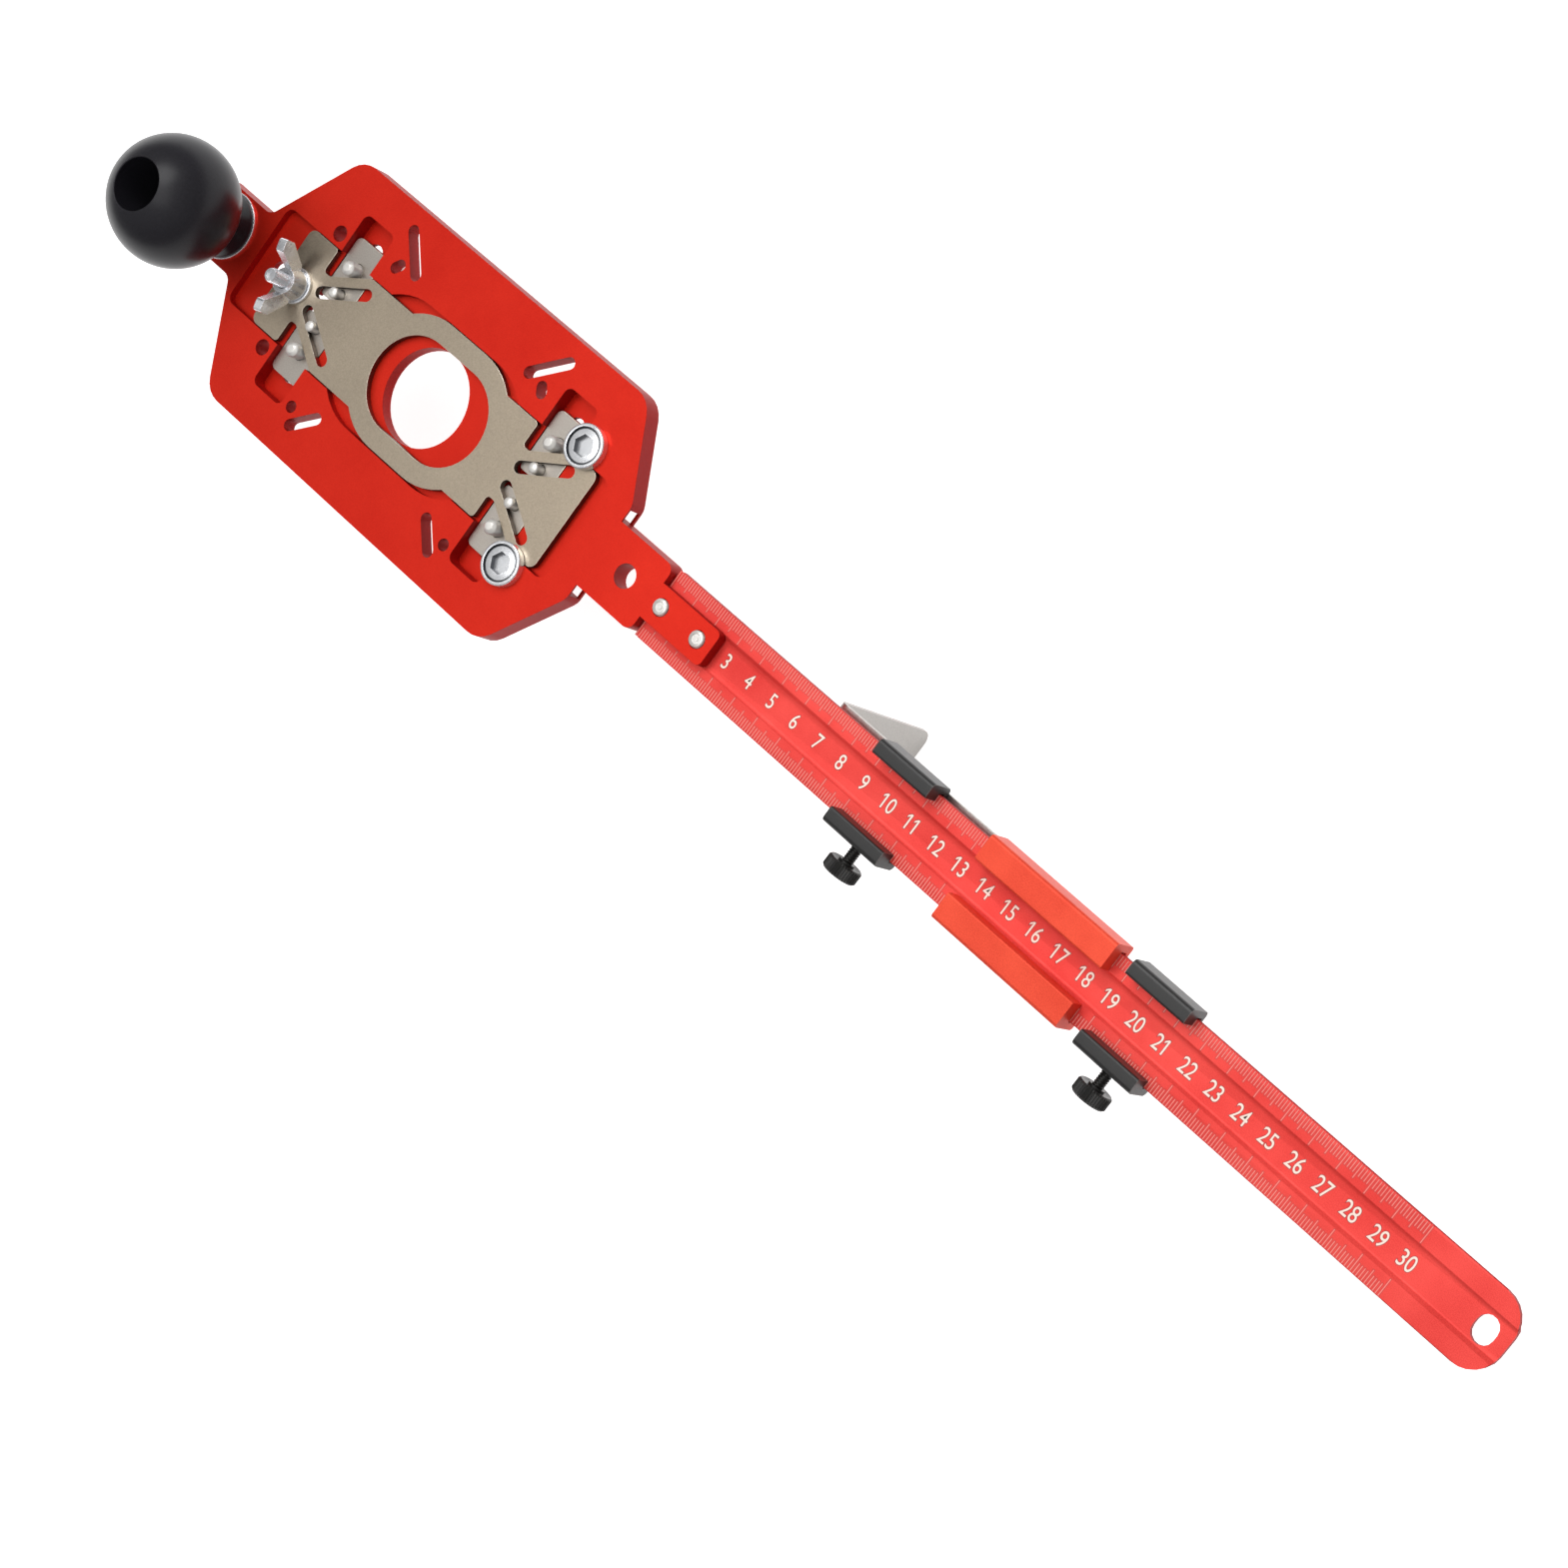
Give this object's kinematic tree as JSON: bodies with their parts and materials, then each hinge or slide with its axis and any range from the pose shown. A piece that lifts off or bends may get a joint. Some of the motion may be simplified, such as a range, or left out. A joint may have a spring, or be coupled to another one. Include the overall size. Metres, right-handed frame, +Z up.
{
  "type": "router edge guide jig",
  "caption": "Router base jig: a plate with a slide plate that spreads four jaws with edge rollers, a ball knob, and a ruler arm with a sliding end stop.",
  "frame": {"origin": "on the underside of the base plate's left tab, on its centre line, between the knob and the rollers; the router hole's centre is 86 mm from it along +X", "axes": "+X along the ruler towards its tip, +Y across the plate, +Z up through the plate towards the router"},
  "size_m": [0.5684, 0.0914, 0.1177],
  "materials": {
    "plate_paint": "satin red coating on aluminium",
    "ruler_red": "satin red anodising with pale scale marks",
    "block_red": "satin red anodising",
    "slide_steel": "brushed, warm grey",
    "jaw_steel": "brushed",
    "bracket_steel": "fine brushed sheet",
    "zinc": "bright zinc plating",
    "bright_steel": "bright plating",
    "dark_steel": "black oxide",
    "clamp_black": "satin black anodising",
    "knob_black": "satin moulded plastic",
    "nylon": "white nylon"
  },
  "bodies": {
    "base": {"base_plate": "plate_paint", "ruler": "ruler_red", "ruler_screw_near": "zinc", "ruler_screw_far": "zinc", "retainer_screw_front": "bright_steel", "retainer_screw_back": "bright_steel", "knob_ball": "knob_black", "knob_ferrule": "bright_steel", "knob_screw": "dark_steel"},
    "slide_plate": {"slide_plate": "slide_steel", "clamp_bolt": "zinc", "clamp_washer": "zinc"},
    "wing_nut": {"wing_nut": "zinc"},
    "jaw_left_back": {"jaw_left_back": "jaw_steel", "jaw_pin_left_back": "bright_steel", "roller_bolt_left_back": "zinc"},
    "jaw_left_front": {"jaw_left_front": "jaw_steel", "jaw_pin_left_front": "bright_steel", "roller_bolt_left_front": "zinc"},
    "jaw_right_back": {"jaw_right_back": "jaw_steel", "jaw_pin_right_back": "bright_steel", "roller_bolt_right_back": "zinc"},
    "jaw_right_front": {"jaw_right_front": "jaw_steel", "jaw_pin_right_front": "bright_steel", "roller_bolt_right_front": "zinc"},
    "roller_left_back": {"roller_left_back": "nylon"},
    "roller_left_front": {"roller_left_front": "nylon"},
    "roller_right_back": {"roller_right_back": "nylon"},
    "roller_right_front": {"roller_right_front": "nylon"},
    "stop_block": {"slider_block": "block_red", "stop_bracket": "bracket_steel", "bracket_screw_near": "dark_steel", "bracket_screw_far": "dark_steel"},
    "inner_clamp": {"stop_clamp_inner": "clamp_black"},
    "outer_clamp": {"stop_clamp_outer": "clamp_black"},
    "inner_thumb_screw": {"thumb_screw_inner": "dark_steel"},
    "outer_thumb_screw": {"thumb_screw_outer": "dark_steel"}
  },
  "joints": [
    {"name": "slide_plate_travel", "type": "slide", "parent": "base", "child": "slide_plate", "axis": [1, 0, 0], "range_m": [-0.0103, 0.0047]},
    {"name": "wing_nut_turn", "type": "hinge", "parent": "slide_plate", "child": "wing_nut", "pos_m": [0.0217, 0, 0.012], "axis": [0, 0, 1], "range_deg": [0, 450]},
    {"name": "jaw_left_back_spread", "type": "slide", "parent": "base", "child": "jaw_left_back", "axis": [0, 1, 0], "range_m": [-0.00272, 0.00595]},
    {"name": "jaw_left_front_spread", "type": "slide", "parent": "base", "child": "jaw_left_front", "axis": [0, -1, 0], "range_m": [-0.00272, 0.00595]},
    {"name": "jaw_right_back_spread", "type": "slide", "parent": "base", "child": "jaw_right_back", "axis": [0, 1, 0], "range_m": [-0.00272, 0.00595]},
    {"name": "jaw_right_front_spread", "type": "slide", "parent": "base", "child": "jaw_right_front", "axis": [0, -1, 0], "range_m": [-0.00272, 0.00595]},
    {"name": "roller_left_back_spin", "type": "hinge", "parent": "jaw_left_back", "child": "roller_left_back", "pos_m": [0.036, 0.0159, -0.0106], "axis": [0, 0, 1], "continuous": true},
    {"name": "roller_left_front_spin", "type": "hinge", "parent": "jaw_left_front", "child": "roller_left_front", "pos_m": [0.036, -0.0159, -0.0106], "axis": [0, 0, 1], "continuous": true},
    {"name": "roller_right_back_spin", "type": "hinge", "parent": "jaw_right_back", "child": "roller_right_back", "pos_m": [0.136, 0.0159, -0.0106], "axis": [0, 0, 1], "continuous": true},
    {"name": "roller_right_front_spin", "type": "hinge", "parent": "jaw_right_front", "child": "roller_right_front", "pos_m": [0.136, -0.0159, -0.0106], "axis": [0, 0, 1], "continuous": true},
    {"name": "stop_travel", "type": "slide", "parent": "base", "child": "stop_block", "axis": [1, 0, 0], "range_m": [-0.045, 0.1]},
    {"name": "inner_clamp_travel", "type": "slide", "parent": "stop_block", "child": "inner_clamp", "axis": [1, 0, 0], "range_m": [-0.018, 0.0228]},
    {"name": "outer_clamp_travel", "type": "slide", "parent": "stop_block", "child": "outer_clamp", "axis": [1, 0, 0], "range_m": [-0.0063, 0.013]},
    {"name": "inner_thumb_screw_turn", "type": "hinge", "parent": "inner_clamp", "child": "inner_thumb_screw", "pos_m": [0.29815, -0.02, 0.0029], "axis": [0, -1, 0], "range_deg": [0, 360]},
    {"name": "outer_thumb_screw_turn", "type": "hinge", "parent": "outer_clamp", "child": "outer_thumb_screw", "pos_m": [0.40005, -0.02, 0.0029], "axis": [0, -1, 0], "range_deg": [0, 360]}
  ],
  "couplings": [
    {"joint": "jaw_left_back_spread", "follows": "slide_plate_travel", "ratio": -0.57735},
    {"joint": "jaw_left_front_spread", "follows": "slide_plate_travel", "ratio": -0.57735},
    {"joint": "jaw_right_back_spread", "follows": "slide_plate_travel", "ratio": -0.57735},
    {"joint": "jaw_right_front_spread", "follows": "slide_plate_travel", "ratio": -0.57735}
  ]
}
